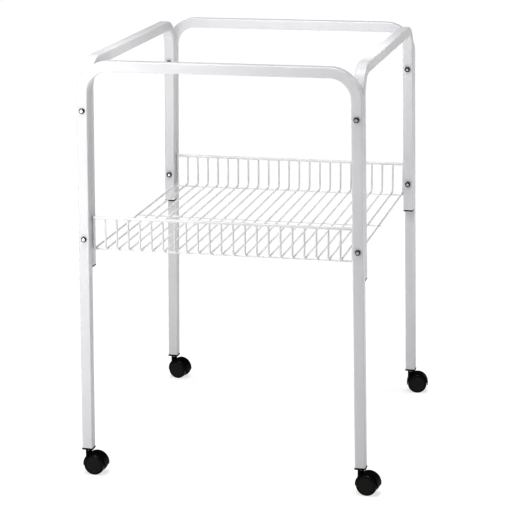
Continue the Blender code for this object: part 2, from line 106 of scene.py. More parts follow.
# Fasteners
BOLT_RADIUS = 0.0029
BOLT_HOLE_RADIUS = 0.0033
BOLT_HEAD_RADIUS = 0.0051
BOLT_HEAD_HEIGHT = 0.0042
BOLT_THREAD = 0.012          # length of the threaded end
THREAD_PITCH = 0.0010
THREAD_DEPTH = 0.0005
NUT_ACROSS_FLATS = 0.010

# Plugs and castor sockets, inside the tube
PLUG_CORNER = 0.0012
PLUG_TAPER = 0.0010

# Castors, measured from the swivel axis and the floor
WHEEL_RADIUS = 0.020
WHEEL_INNER_FACE = 0.0064
WHEEL_OUTER_FACE = 0.0170
WHEEL_DOME_RADIUS = 0.0158
WHEEL_DOME_DROP = 0.0009     # from the middle of the outer face to the step round the dome
WHEEL_EDGE = 0.0008
WHEEL_HUB_RADIUS = 0.0052
WHEEL_HOLLOW_RADIUS = 0.0170
CASTOR_TRAIL = 0.0145
HOOD_RADIUS = 0.0225
HOOD_WALL = 0.0016
HOOD_HALF_WIDTH = 0.0120
HOOD_END_ANGLE = math.radians(8)
WEB_HALF_WIDTH = 0.0055
WEB_BOSS_RADIUS = 0.0085
NECK_RADIUS = 0.0060
NECK_TOP = 0.0446
AXLE_RADIUS = 0.0025
AXLE_HALF_LENGTH = 0.0146
STEM_RADIUS = 0.0038
STEM_FOOT = 0.0285
COLLAR_RADIUS = 0.0048
GRIP_RING_THICKNESS = 0.0005
GRIP_RING_HALF_SLOT = 0.0011
SOCKET_FLANGE = 0.0216
SOCKET_FLANGE_HEIGHT = 0.0024
SOCKET_BORE_RADIUS = 0.0052
RUNNING_GAP = 0.0003

# Camera and light
CAMERA_PLACE = (0.8401, -3.6583, 1.3263)
CAMERA_TURN = math.radians(13.200)
CAMERA_PITCH = math.radians(14.341)
CAMERA_ROLL = math.radians(-0.469)
CAMERA_LENS = 135.944        # mm on a 36 mm sensor
VIEW_GAMMA = 0.72
FLOOR_RADIUS = 60.0
FLOOR_GLOW = 0.79
SKY = 0.03                   # brightness of the surround overhead
FADE_START, FADE_END = 0.02, 0.12    # heights on a unit sphere between white and the sky
SUN_POWER = 2.8
KEY_POWER = 3.9
TOP_POWER = 4.9
BACK_BAR_POWER = 1.1
STRIP_POWER = 0.22

CORNERS = ("front_left", "back_left", "front_right", "back_right")


# Places taken from the CAD frame

def middle(node):
    low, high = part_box(node)
    return (low + high) / 2


def hoop_sizes():
    """The stand's middle, its bar height and the feet of the long legs, from the front hoop."""
    low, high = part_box("front_hoop")
    foot = low.z + TUBE / 2 * math.sin(LEG_LEAN)
    spread = (high.x - low.x) / 2 - TUBE / 2 * math.cos(LEG_LEAN)
    return (low.x + high.x) / 2, high.z - TUBE / 2, foot, spread


STAND_X, BAR_HEIGHT, LEG_END, FOOT_SPREAD = hoop_sizes()
CORNER_X = FOOT_SPREAD - math.tan(LEG_LEAN) * (BAR_HEIGHT - LEG_END)
SHORT_LEG_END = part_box("left_hoop")[0].z + TUBE / 2 * math.sin(LEG_LEAN)
SIDE_HOOP_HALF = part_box("left_hoop")[1].y - TUBE / 2
FLANGE_TOP = LEG_END - 2 * RUNNING_GAP


def leg_x(height):
    """Distance from the stand's middle to the middle of a leg, at a height."""
    return CORNER_X + math.tan(LEG_LEAN) * (BAR_HEIGHT - height)


def side_of(corner):
    return 1 if corner.endswith("right") else -1


def end_of(corner):
    return 1 if corner.startswith("back") else -1


def leaning(corner):
    """The lean of a corner's legs."""
    return Matrix.Rotation(-side_of(corner) * LEG_LEAN, 4, "Y")


def along_y(place, towards_front=False):
    """Places a shape made along +Z so that it runs along Y from a point."""
    turn = math.pi / 2 if towards_front else -math.pi / 2
    return Matrix.Translation(place) @ Matrix.Rotation(turn, 4, "X")


# Mesh making

def skin(shape, rings, loop=False):
    """Faces between rings of equal length; a loop joins the last to the first, or both are capped."""
    rows = [[shape.verts.new(point) for point in ring] for ring in rings]
    pairs = list(zip(rows, rows[1:]))
    if loop:
        pairs.append((rows[-1], rows[0]))
    else:
        shape.faces.new(rows[0][::-1])
        shape.faces.new(rows[-1])
    for lower, upper in pairs:
        for index in range(len(lower)):
            following = (index + 1) % len(lower)
            shape.faces.new((lower[index], lower[following], upper[following], upper[index]))


def finished(shape, name, angle=35):
    """The mesh of a shape, with outward faces, smooth apart from its hard edges."""
    bmesh.ops.recalc_face_normals(shape, faces=shape.faces)
    mesh = bpy.data.meshes.new(name)
    shape.to_mesh(mesh)
    shape.free()
    mesh.shade_smooth()
    mesh.set_sharp_from_angle(angle=math.radians(angle))
    return mesh


def skinned(rings, name, loop=False):
    shape = bmesh.new()
    skin(shape, rings, loop)
    return finished(shape, name)


def carved(mesh, tools, operation="DIFFERENCE", angle=35):
    """A mesh after Boolean operations with other meshes."""
    body = bpy.data.objects.new(mesh.name, mesh)
    bpy.context.scene.collection.objects.link(body)
    helpers = []
    for tool in tools:
        helper = bpy.data.objects.new("tool", tool)
        bpy.context.scene.collection.objects.link(helper)
        boolean = body.modifiers.new("boolean", "BOOLEAN")
        boolean.operation = operation
        boolean.object = helper
        helpers.append(helper)
    bpy.context.view_layer.update()
    result = bpy.data.meshes.new_from_object(body.evaluated_get(bpy.context.evaluated_depsgraph_get()))
    for helper in (body, *helpers):
        bpy.data.objects.remove(helper, do_unlink=True)
    result.name = mesh.name
    result.shade_smooth()
    result.set_sharp_from_angle(angle=math.radians(angle))
    return result


def full_turn(steps):
    """Evenly spaced angles all the way round."""
    return [math.tau * step / steps for step in range(steps)]


def polar(radius, turn, height):
    return Vector((radius * math.cos(turn), radius * math.sin(turn), height))


def ring(radius, height, steps):
    """A circle of points about Z."""
    return [polar(radius, turn, height) for turn in full_turn(steps)]


def turned(profile, name, steps=48, loop=False):
    """A turned shape about Z, from its profile of (radius, height)."""
    return skinned([ring(radius, height, steps) for radius, height in profile], name, loop)


def rounding(radius, height, reach, start, end, steps=5):
    """Profile points of a round edge whose centre is at (radius, height); angles in degrees."""
    points = []
    for step in range(steps + 1):
        turn = math.radians(start + (end - start) * step / steps)
        points.append((radius + reach * math.cos(turn), height + reach * math.sin(turn)))
    return points


def square_outline(width, corner, edge_steps=EDGE_STEPS, face_steps=1):
    """The outline of a square with rounded corners, as (u, v) points."""
    reach = width / 2 - corner
    points = []
    for quarter in range(4):
        middle_turn = math.pi / 4 + quarter * math.pi / 2
        centre = Vector((math.copysign(reach, math.cos(middle_turn)),
                         math.copysign(reach, math.sin(middle_turn))))
        for step in range(edge_steps + 1):
            turn = quarter * math.pi / 2 + math.pi / 2 * step / edge_steps
            points.append(centre + corner * Vector((math.cos(turn), math.sin(turn))))
        along = Vector((-math.sin(turn), math.cos(turn)))
        for step in range(1, face_steps):
            points.append(points[-step] + along * 2 * reach * step / face_steps)
    return points


def square_ring(width, corner, height):
    return [Vector((u, v, height)) for u, v in square_outline(width, corner)]


def round_ring_beside(square, radius, height):
    """A circle whose points stand at the same turns as those of a square ring."""
    return [polar(radius, math.atan2(point.y, point.x), height) for point in square]


def tube_rings(stations, across, sides):
    """Rings around a flat path of (point, radius); across is the direction square to its plane."""
    places = [Vector(point) for point, radius in stations]
    rings = []
    for number, (point, radius) in enumerate(stations):
        before = places[max(number - 1, 0)]
        after = places[min(number + 1, len(places) - 1)]
        inward = across.cross((after - before).normalized())
        rings.append([Vector(point) + radius * (math.cos(turn) * inward + math.sin(turn) * across)
                      for turn in full_turn(sides)])
    return rings


def round_corner(before, corner, after, radius, steps):
    """Points of the arc that rounds a corner between two straight runs."""
    into = (corner - before).normalized()
    out = (after - corner).normalized()
    turn = into.angle(out)
    tangent = radius * math.tan(turn / 2)
    start = corner - into * tangent
    inward = (out - into * into.dot(out)).normalized()
    centre = start + inward * radius
    points = []
    for step in range(steps + 1):
        angle = turn * step / steps
        points.append(centre + radius * (math.sin(angle) * into - math.cos(angle) * inward))
    return points


# Finishes

class Finish:
    """A procedural material on one Principled shader."""

    def __init__(self, name, values):
        self.material = bpy.data.materials.new(name)
        self.material.use_nodes = True
        self.tree = self.material.node_tree
        self.shader = self.tree.nodes["Principled BSDF"]
        self.place = self.add("ShaderNodeTexCoord", {}).outputs["Object"]
        for key, value in values.items():
            self.put(key, value)

    def add(self, kind, inputs, **settings):
        """A node whose inputs are given as numbers, colours or other nodes' outputs."""
        node = self.tree.nodes.new(kind)
        for key, value in settings.items():
            setattr(node, key, value)
        for key, value in inputs.items():
            self.feed(node.inputs[key], value)
        return node

    def feed(self, socket, value):
        if isinstance(value, bpy.types.NodeSocket):
            self.tree.links.new(value, socket)
        else:
            socket.default_value = value

    def put(self, key, value):
        self.feed(self.shader.inputs[key], value)

    def radius(self):
        """Distance from the piece's own Z axis."""
        parts = self.add("ShaderNodeSeparateXYZ", {"Vector": self.place})
        across = self.add("ShaderNodeCombineXYZ", {"X": parts.outputs["X"], "Y": parts.outputs["Y"]})
        return self.add("ShaderNodeVectorMath", {0: across.outputs[0]}, operation="LENGTH").outputs["Value"]

    def noise(self, scale, detail=2.0, rough=0.5, stretch=(1, 1, 1)):
        """Noise from 0 to 1 with features about 1 / scale metres wide."""
        mapped = self.add("ShaderNodeMapping", {"Vector": self.place, "Scale": stretch})
        inputs = {"Vector": mapped.outputs[0], "Scale": scale, "Detail": detail, "Roughness": rough}
        return self.add("ShaderNodeTexNoise", inputs).outputs["Fac"]

    def cells(self, scale):
        """Distance from cell centres, with cells about 1 / scale metres wide."""
        inputs = {"Vector": self.place, "Scale": scale}
        return self.add("ShaderNodeTexVoronoi", inputs).outputs["Distance"]

    def spread(self, value, low, high, start=0.3, end=0.7):
        """A value between start and end mapped to low and high."""
        inputs = {"Value": value, "From Min": start, "From Max": end, "To Min": low, "To Max": high}
        return self.add("ShaderNodeMapRange", inputs).outputs["Result"]

    def maths(self, operation, first, second=0.0):
        return self.add("ShaderNodeMath", {0: first, 1: second}, operation=operation).outputs[0]

    def blend(self, factor, first, second):
        """A colour between two."""
        inputs = {0: factor, 6: first, 7: second}
        return self.add("ShaderNodeMix", inputs, data_type="RGBA").outputs[2]

    def edges(self, low, high):
        """1 on outer edges of the mesh and 0 on flat and hollow places."""
        pointed = self.add("ShaderNodeNewGeometry", {}).outputs["Pointiness"]
        return self.spread(pointed, 0.0, 1.0, low, high)

    def bump(self, height, distance, strength, under=None):
        inputs = {"Height": height, "Distance": distance, "Strength": strength}
        if under is not None:
            inputs["Normal"] = under
        return self.add("ShaderNodeBump", inputs).outputs["Normal"]


def shade(red, green, blue):
    return (red, green, blue, 1.0)


def white_powder_coat():
    """Stoved white powder with its orange-peel skin, thinner and duller on the edges."""
    finish = Finish("white_powder_coat",
                    {"Specular IOR Level": 0.3, "Coat Weight": 0.1, "Coat Roughness": 0.15})
    cloudy = finish.spread(finish.noise(7.0, 4.0), 0.0, 1.0)
    colour = finish.blend(cloudy, shade(0.72, 0.72, 0.735), shade(0.77, 0.77, 0.78))
    dusty = finish.spread(finish.noise(160.0, 5.0, 0.7), 0.0, 0.35, 0.55, 0.8)
    colour = finish.blend(dusty, colour, shade(0.74, 0.735, 0.725))
    patchy = finish.spread(finish.noise(90.0, 4.0), 0.0, 0.5)
    worn = finish.maths("MULTIPLY", finish.edges(0.52, 0.60), patchy)
    finish.put("Base Color", finish.blend(worn, colour, shade(0.70, 0.70, 0.71)))
    finish.put("Roughness", finish.spread(finish.noise(300.0, 3.0), 0.30, 0.44))
    peel = finish.bump(finish.noise(620.0, 1.5), 0.00006, 0.35)
    grit = finish.bump(finish.noise(2600.0, 2.0), 0.00001, 0.4, peel)
    finish.put("Normal", grit)
    return finish.material


def white_coated_wire():
    """White coat on drawn wire, with soft runs and thicker spots."""
    finish = Finish("white_coated_wire", {"Coat Weight": 0.35, "Coat Roughness": 0.10})
    cloudy = finish.spread(finish.noise(25.0, 4.0), 0.0, 1.0)
    colour = finish.blend(cloudy, shade(0.76, 0.76, 0.77), shade(0.82, 0.82, 0.825))
    thin = finish.spread(finish.noise(420.0, 4.0, 0.6), 0.0, 0.4, 0.58, 0.8)
    finish.put("Base Color", finish.blend(thin, colour, shade(0.70, 0.70, 0.70)))
    finish.put("Roughness", finish.spread(finish.noise(500.0, 3.0), 0.26, 0.40))
    runs = finish.bump(finish.noise(240.0, 2.0, 0.5, (1.0, 0.4, 1.0)), 0.00012, 0.35)
    peel = finish.bump(finish.noise(1300.0, 1.5), 0.00003, 0.4, runs)
    finish.put("Normal", peel)
    return finish.material


def zinc_plating(name, dark, bright, low, high, rim=None):
    """Zinc on steel, clouded by its passivation and scored by tumbling, with painted shade beyond a rim."""
    finish = Finish(name, {"Metallic": 1.0})
    cloudy = finish.spread(finish.noise(380.0, 4.0), 0.0, 1.0)
    colour = finish.blend(cloudy, dark, bright)
    tint = finish.spread(finish.noise(140.0, 2.0), 0.0, 0.35, 0.45, 0.7)
    colour = finish.blend(tint, colour, shade(0.66, 0.64, 0.55))
    stained = finish.spread(finish.noise(900.0, 5.0, 0.7), 0.0, 0.7, 0.60, 0.75)
    colour = finish.blend(stained, colour, shade(0.30, 0.30, 0.31))
    if rim is not None:
        # Painted shade: the plating turns near black beyond the rim radius, over the outer part of the bolt
        # heads and the nuts.
        painted_shade_beyond_rim = finish.spread(finish.radius(), 0.0, 0.92, rim, rim + 0.0008)
        colour = finish.blend(painted_shade_beyond_rim, colour, shade(0.045, 0.045, 0.048))
    finish.put("Base Color", colour)
    finish.put("Roughness", finish.spread(finish.noise(1500.0, 4.0), low, high))
    scores = finish.bump(finish.noise(1800.0, 3.0, 0.6, (1.0, 1.0, 9.0)), 0.00002, 0.5)
    pits = finish.bump(finish.noise(4200.0, 2.0), 0.00001, 0.4, scores)
    finish.put("Normal", pits)
    return finish.material


def black_moulded_plastic():
    """Black plastic with spark-eroded grain, paler on rubbed edges."""
    finish = Finish("black_moulded_plastic", {"Specular IOR Level": 0.08})
    cloudy = finish.spread(finish.noise(120.0, 4.0), 0.0, 1.0)
    colour = finish.blend(cloudy, shade(0.002, 0.002, 0.0018), shade(0.005, 0.005, 0.0046))
    patchy = finish.spread(finish.noise(600.0, 4.0), 0.1, 0.9)
    rubbed = finish.maths("MULTIPLY", finish.edges(0.54, 0.66), patchy)
    colour = finish.blend(rubbed, colour, shade(0.010, 0.010, 0.0095))
    lint = finish.spread(finish.noise(900.0, 6.0, 0.75), 0.0, 0.3, 0.66, 0.8)
    finish.put("Base Color", finish.blend(lint, colour, shade(0.05, 0.05, 0.045)))
    finish.put("Roughness", finish.spread(finish.noise(700.0, 3.0), 0.36, 0.52))
    flow = finish.bump(finish.noise(180.0, 2.0), 0.00008, 0.25)
    grain = finish.bump(finish.cells(2400.0), 0.00003, 0.5, flow)
    finish.put("Normal", grain)
    return finish.material


def black_wheel_plastic():
    """Hard black wheel: polished dome with turning marks, painted shade on the ring round the dome, and a
    scuffed, dusty tread.
    """
    finish = Finish("black_wheel_plastic", {"Specular IOR Level": 0.22})
    radius = finish.radius()
    tread = finish.spread(radius, 0.0, 1.0, WHEEL_RADIUS - 0.0012, WHEEL_RADIUS - 0.0003)
    scuffed = finish.maths("MULTIPLY", tread, finish.spread(finish.noise(420.0, 5.0, 0.7), 0.15, 1.0))
    cloudy = finish.spread(finish.noise(150.0, 4.0), 0.0, 1.0)
    dome = finish.blend(cloudy, shade(0.0125, 0.0125, 0.0105), shade(0.0185, 0.0185, 0.0155))
    # Painted shade: near black on the rounded shoulder just outside the dome.
    rim = finish.spread(radius, 0.0, 1.0, WHEEL_DOME_RADIUS - 0.0008, WHEEL_DOME_RADIUS + 0.0006)
    colour = finish.blend(rim, dome, shade(0.003, 0.003, 0.0027))
    colour = finish.blend(scuffed, colour, shade(0.020, 0.0195, 0.018))
    lint = finish.spread(finish.noise(800.0, 6.0, 0.75), 0.0, 0.4, 0.67, 0.8)
    finish.put("Base Color", finish.blend(lint, colour, shade(0.06, 0.06, 0.055)))
    smooth = finish.spread(finish.noise(520.0, 3.0), 0.24, 0.36)
    finish.put("Roughness", finish.maths("MAXIMUM", smooth, finish.maths("MULTIPLY", scuffed, 0.62)))
    marks = finish.maths("SINE", finish.maths("MULTIPLY", radius, math.tau / 0.0006))
    turning = finish.bump(marks, 0.000004, 0.5)
    scratches = finish.bump(finish.noise(1600.0, 4.0, 0.6), 0.00002, 0.35, turning)
    finish.put("Normal", scratches)
    return finish.material


def nylon_spacer():
    """Natural nylon, milky and slightly mottled."""
    finish = Finish("nylon_spacer", {"Subsurface Weight": 0.2, "Subsurface Scale": 0.001})
    cloudy = finish.spread(finish.noise(500.0, 4.0), 0.0, 1.0)
    finish.put("Base Color", finish.blend(cloudy, shade(0.72, 0.71, 0.66), shade(0.80, 0.79, 0.75)))
    finish.put("Roughness", finish.spread(finish.noise(900.0, 3.0), 0.38, 0.55))
    finish.put("Normal", finish.bump(finish.noise(2000.0, 3.0), 0.00002, 0.4))
    return finish.material


FINISHES = {
    "white_powder_coat": white_powder_coat(),
    "white_coated_wire": white_coated_wire(),
    # The fastener plating's rim at 2.6 mm is where its painted shade starts.
    "zinc_plated_fastener": zinc_plating(
        "zinc_plated_fastener", shade(0.55, 0.56, 0.57), shade(0.80, 0.81, 0.82), 0.20, 0.36, rim=0.0026),
    "zinc_plated_pin": zinc_plating(
        "zinc_plated_pin", shade(0.44, 0.45, 0.46), shade(0.70, 0.71, 0.73), 0.16, 0.34),
    "black_moulded_plastic": black_moulded_plastic(),
    "black_wheel_plastic": black_wheel_plastic(),
    "nylon_spacer": nylon_spacer(),
}


def add_piece(name, mesh, finish, node, place=None):
    """A fine piece that stands for a CAD node and moves with that node's body."""
    mesh.materials.clear()
    mesh.materials.append(FINISHES[finish])
    piece = bpy.data.objects.new(name, mesh)
    bpy.context.scene.collection.objects.link(piece)
    piece.matrix_world = place if place is not None else Matrix.Identity(4)
    weighted = piece.modifiers.new("weighted_normals", "WEIGHTED_NORMAL")
    weighted.keep_sharp = True
    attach(piece, body_of(frame["nodes"][node])[0])
    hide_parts(node)


# Hoops

def straight_run(start, end):
    """Stations along a straight run, without its ends."""
    count = max(2, round((end - start).length / STRAIGHT_STEP))
    return [start.lerp(end, step / count) for step in range(1, count)]


def hoop_stations(half_width, half_spread, drop):
    """A hoop's middle line as (point, outward direction, depth into a bend from 0 to 1)."""
    foot_left = Vector((-half_spread, -drop))
    foot_right = Vector((half_spread, -drop))
    top_left = Vector((-half_width, 0))
    top_right = Vector((half_width, 0))
    bends = (round_corner(foot_left, top_left, top_right, BEND_RADIUS, BEND_STEPS),
             round_corner(top_left, top_right, foot_right, BEND_RADIUS, BEND_STEPS))
    line = [foot_left]
    line += straight_run(foot_left, bends[0][0])
    first_bend = len(line)
    line += bends[0]
    line += straight_run(bends[0][-1], bends[1][0])
    second_bend = len(line)
    line += bends[1]
    line += straight_run(bends[1][-1], foot_right)
    line.append(foot_right)
    stations = []
    for number, point in enumerate(line):
        before = line[max(number - 1, 0)]
        after = line[min(number + 1, len(line) - 1)]
        along = (after - before).normalized()
        depth = 0.0
        for start in (first_bend, second_bend):
            if start <= number <= start + BEND_STEPS:
                depth = math.sin(math.pi * (number - start) / BEND_STEPS) ** 0.5
        stations.append((point, Vector((-along.y, along.x)), depth))
    return stations


def tube_section(station, width, corner):
    """One ring of a square tube; its inner face is drawn in where the tube is bent."""
    point, outward, depth = station
    points = []
    for u, v in square_outline(width, corner, face_steps=FACE_STEPS):
        inner_face = max(0.0, -u / (width / 2)) ** 6
        outer_face = max(0.0, u / (width / 2)) ** 6
        crown = 1 - (2 * v / width) ** 2
        u += BEND_SINK * depth * crown * (inner_face - 0.5 * outer_face)
        place = point + outward * u
        points.append(Vector((place.x, place.y, v)))
    return points


def hoop_mesh(name, half_width, half_spread, drop, place, holes):
    """A bent square tube, open at both ends, with its bolt holes."""
    stations = hoop_stations(half_width, half_spread, drop)
    outside = [tube_section(station, TUBE, TUBE_EDGE) for station in stations]
    inside = [tube_section(station, TUBE_BORE, TUBE_EDGE - TUBE_WALL) for station in stations]
    mesh = skinned(outside + inside[::-1], name, loop=True)
    mesh.transform(place)
    drill = turned([(BOLT_HOLE_RADIUS, -TUBE), (BOLT_HOLE_RADIUS, TUBE)], "drill", 32)
    shape = bmesh.new()
    for hole in holes:
        bit = drill.copy()
        bit.transform(along_y(hole))
        shape.from_mesh(bit)
    return carved(mesh, [finished(shape, "holes")])


def bolt_place(corner, level):
    """The middle of a corner's upper or lower bolt hole, at the height of the bolt."""
    return middle(corner + "_" + level + "_bolt")


def bolt_holes(name, depth_at):
    """Holes through the legs of the corners at one end or side, at the y that depth_at gives a corner."""
    holes = []
    for corner in CORNERS:
        if name in corner.split("_"):
            for level in ("upper", "lower"):
                bolt = bolt_place(corner, level)
                holes.append((bolt.x, depth_at(corner), bolt.z))
    return holes


def make_hoops():
    """The front and back hoops on the castors, and the side hoops between their legs."""
    upright = Matrix.Rotation(math.pi / 2, 4, "X")
    for end_name in ("front", "back"):
        node = end_name + "_hoop"
        y = middle(node).y
        place = Matrix.Translation((STAND_X, y, BAR_HEIGHT)) @ upright
        holes = bolt_holes(end_name, lambda corner: y)
        mesh = hoop_mesh(node, CORNER_X, FOOT_SPREAD, BAR_HEIGHT - LEG_END, place, holes)
        add_piece(end_name + "_hoop_tube", mesh, "white_powder_coat", node)
    for side_name in ("left", "right"):
        node = side_name + "_hoop"
        side = side_of(side_name)
        place = (Matrix.Translation((STAND_X + side * CORNER_X, 0, BAR_HEIGHT))
                 @ Matrix.Rotation(-side * LEG_LEAN, 4, "Y")
                 @ Matrix.Rotation(math.pi / 2, 4, "Z") @ upright)
        holes = bolt_holes(side_name, lambda corner: end_of(corner) * SIDE_HOOP_HALF)
        drop = (BAR_HEIGHT - SHORT_LEG_END) / math.cos(LEG_LEAN)
        mesh = hoop_mesh(node, SIDE_HOOP_HALF, SIDE_HOOP_HALF, drop, place, holes)
        add_piece(side_name + "_hoop_tube", mesh, "white_powder_coat", node)


# Fasteners

def thread_ring(height, steps=24):
    """A ring of a helical thread about Z."""
    points = []
    for step, turn in enumerate(full_turn(steps)):
        part = (height / THREAD_PITCH - step / steps) % 1.0
        crest = 1 - abs(2 * part - 1)
        points.append(polar(BOLT_RADIUS - THREAD_DEPTH * (1 - crest), turn, height))
    return points


def cross_recess():
    """The two tapered slots of a cross recess, for a head whose top is at -Z."""
    top, bottom = -BOLT_HEAD_HEIGHT - 0.0005, -BOLT_HEAD_HEIGHT + 0.0025
    slots = []
    for turn in (math.pi / 4, 3 * math.pi / 4):
        rings = []
        for length, width, height in ((0.0030, 0.00075, top), (0.0010, 0.00056, bottom)):
            corners = ((length, width), (-length, width), (-length, -width), (length, -width))
            rings.append([Vector((x, y, height)) for x, y in corners])
        slot = skinned(rings, "slot")
        slot.transform(Matrix.Rotation(turn, 4, "Z"))
        slots.append(slot)
    return slots


def bolt_mesh(length):
    """A pan-head bolt along +Z with a cross recess and a threaded end; z = 0 is under its head."""
    crown_edge = 0.0022
    rim = BOLT_HEAD_RADIUS
    profile = [(0.0006, -BOLT_HEAD_HEIGHT - 0.00025), (0.0018, -BOLT_HEAD_HEIGHT - 0.00015)]
    profile += rounding(rim - crown_edge, crown_edge - BOLT_HEAD_HEIGHT, crown_edge, 270, 360, 8)
    profile += rounding(rim - 0.0002, -0.0002, 0.0002, 0, 90, 2)
    profile += [(BOLT_RADIUS + 0.0002, 0.0), (BOLT_RADIUS, 0.0002)]
    start = length - BOLT_THREAD
    profile += [(BOLT_RADIUS, start / 2), (BOLT_RADIUS, start)]
    rings = [ring(radius, height, 24) for radius, height in profile]
    turns = int((BOLT_THREAD - 0.001) / THREAD_PITCH * 6)
    rings += [thread_ring(start + 0.0004 + THREAD_PITCH / 6 * step) for step in range(turns)]
    rings += [ring(BOLT_RADIUS - THREAD_DEPTH, length - 0.0004, 24),
              ring(BOLT_RADIUS - 2 * THREAD_DEPTH, length, 24)]
    return carved(skinned(rings, "bolt"), cross_recess())


def nut_mesh(height):
    """A hexagon nut along +Z with chamfered corners and a threaded hole."""
    flats = NUT_ACROSS_FLATS / 2
    bore = BOLT_RADIUS + 0.00005
    steps = 72
    turns = full_turn(steps)
    reach = [flats / math.cos((turn + math.pi / 6) % (math.pi / 3) - math.pi / 6) for turn in turns]
    face = 0.95 * flats
    drop = [(radius - face) * math.tan(math.radians(30)) for radius in reach]

    def hexagon(heights):
        return [polar(radius, turn, z) for radius, turn, z in zip(reach, turns, heights)]

    rings = [ring(face, 0.0, steps), hexagon(drop), hexagon([height - fall for fall in drop]),
             ring(face, height, steps), ring(bore + 0.0004, height, steps),
             ring(bore, height - 0.0004, steps), ring(bore, 0.0004, steps),
             ring(bore + 0.0004, 0.0, steps)]
    return skinned(rings, "nut", loop=True)


def washer_mesh(inner, outer, height):
    """A flat ring along +Z with softened edges."""
    edge = 0.00015
    profile = [(inner + edge, 0.0), (outer - edge, 0.0), (outer, edge), (outer, height - edge),
               (outer - edge, height), (inner + edge, height), (inner, height - edge), (inner, edge)]
    return turned(profile, "washer", 40, loop=True)


def facing_inward(corner, node):
    """Places a shape made along +Z to run inwards from the outer end of a node."""
    low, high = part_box(node)
    centre = (low + high) / 2
    outer = high.y if end_of(corner) > 0 else low.y
    return along_y((centre.x, outer, centre.z), towards_front=end_of(corner) > 0)


def make_fasteners():
    """Bolts, nuts and spacers of the four corners."""
    low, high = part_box("front_left_upper_bolt")
    length = high.y - low.y - BOLT_HEAD_HEIGHT
    bolt = bolt_mesh(length)
    low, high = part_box("front_left_upper_nut")
    nut = nut_mesh(high.y - low.y)
    low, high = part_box("front_left_spacer_washer")
    spacer = washer_mesh(BOLT_HOLE_RADIUS, (high.z - low.z) / 2, high.y - low.y)
    head = Matrix.Translation((0, 0, BOLT_HEAD_HEIGHT))
    for number, corner in enumerate(CORNERS):
        for level in ("upper", "lower"):
            turn = Matrix.Rotation(math.radians(35 * number + (20 if level == "lower" else 0)), 4, "Z")
            node = corner + "_" + level + "_bolt"
            place = facing_inward(corner, node) @ head @ turn
            add_piece(node + "_threaded", bolt, "zinc_plated_fastener", node, place)
            node = corner + "_" + level + "_nut"
            place = facing_inward(corner, node) @ turn
            add_piece(node + "_hexagon", nut, "zinc_plated_fastener", node, place)
        node = corner + "_spacer_washer"
        add_piece(node + "_ring", spacer, "nylon_spacer", node, facing_inward(corner, node))


# Plugs in the short legs

def plug_mesh(rim, length):
    """A square plug along +Z: a rounded rim below z = 0 and a body above it."""
    edge = 0.0008
    rings = []
    for width, height in ((0.0040, 0.0003), (0.0052, 0.0)):
        rings.append(square_ring(width, 0.0015, height - rim))
    for inset, height in rounding(-edge, edge, edge, 270, 360, 4):
        rings.append(square_ring(TUBE + 2 * inset, TUBE_EDGE, height - rim))
    body = TUBE_BORE - 2 * RUNNING_GAP
    rings += [square_ring(TUBE, TUBE_EDGE, -0.0002), square_ring(TUBE - 0.0004, TUBE_EDGE, 0.0),
              square_ring(body, PLUG_CORNER, 0.0), square_ring(body, PLUG_CORNER, length - PLUG_TAPER),
              square_ring(body - PLUG_TAPER, PLUG_CORNER, length)]
    return skinned(rings, "leg_plug")


def make_leg_plugs():
    low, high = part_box("front_left_leg_plug")
    rim = SHORT_LEG_END - RUNNING_GAP - low.z - TUBE / 2 * math.sin(LEG_LEAN)
    plug = plug_mesh(rim, high.z - SHORT_LEG_END)
    height = SHORT_LEG_END - RUNNING_GAP
    for corner in CORNERS:
        node = corner + "_leg_plug"
        foot = (STAND_X + side_of(corner) * leg_x(height), end_of(corner) * SIDE_HOOP_HALF, height)
        place = Matrix.Translation(foot) @ leaning(corner)
        add_piece(node + "_cap", plug, "black_moulded_plastic", node, place)


# Wire shelf

def round_end(point, along, radius, steps=3):
    """Stations that round off the end of a wire; along points out of the wire."""
    stations = []
    for step in range(steps + 1):
        turn = math.pi / 2 * step / steps
        out = along * 0.6 * radius * (math.sin(turn) - 1)
        stations.append((point + out, radius * max(math.cos(turn), 0.25)))
    return stations


def rounded_wire(shape, points, across, radius, sides):
    """A round wire along flat points, with rounded ends."""
    first = (points[0] - points[1]).normalized()
    last = (points[-1] - points[-2]).normalized()
    stations = round_end(points[0], first, radius)[::-1]
    stations += [(point, radius) for point in points[1:-1]]
    stations += round_end(points[-1], last, radius)
    skin(shape, tube_rings(stations, across, sides))


def bent_wire(shape, x, front, back, floor, top):
    """A shelf wire: up the front wall, along the floor and up the back wall, flared into its welds."""
    corners = [Vector((x, front, top)), Vector((x, front, floor)), Vector((x, back, floor)),
               Vector((x, back, top))]
    flare = [(0.0006, 1.34), (-0.0001, 1.30), (-0.0006, 1.12), (-0.0014, 1.0)]
    stations = [(corners[0] + Vector((0, 0, up)), WIRE_RADIUS * grow) for up, grow in flare]
    for index in (1, 2):
        bend = round_corner(*corners[index - 1:index + 2], WIRE_BEND_RADIUS, 8)
        stations += [(point, WIRE_RADIUS) for point in bend]
    stations += [(corners[3] + Vector((0, 0, up)), WIRE_RADIUS * grow) for up, grow in flare[::-1]]
    skin(shape, tube_rings(stations, Vector((1, 0, 0)), 14))


def weld(shape, place, reach, depth):
    """The low bead of metal and coat where two wires are welded."""
    matrix = Matrix.Translation(place) @ Matrix.Diagonal((reach, reach, depth, 1.0))
    bmesh.ops.create_icosphere(shape, subdivisions=2, radius=1.0, matrix=matrix)


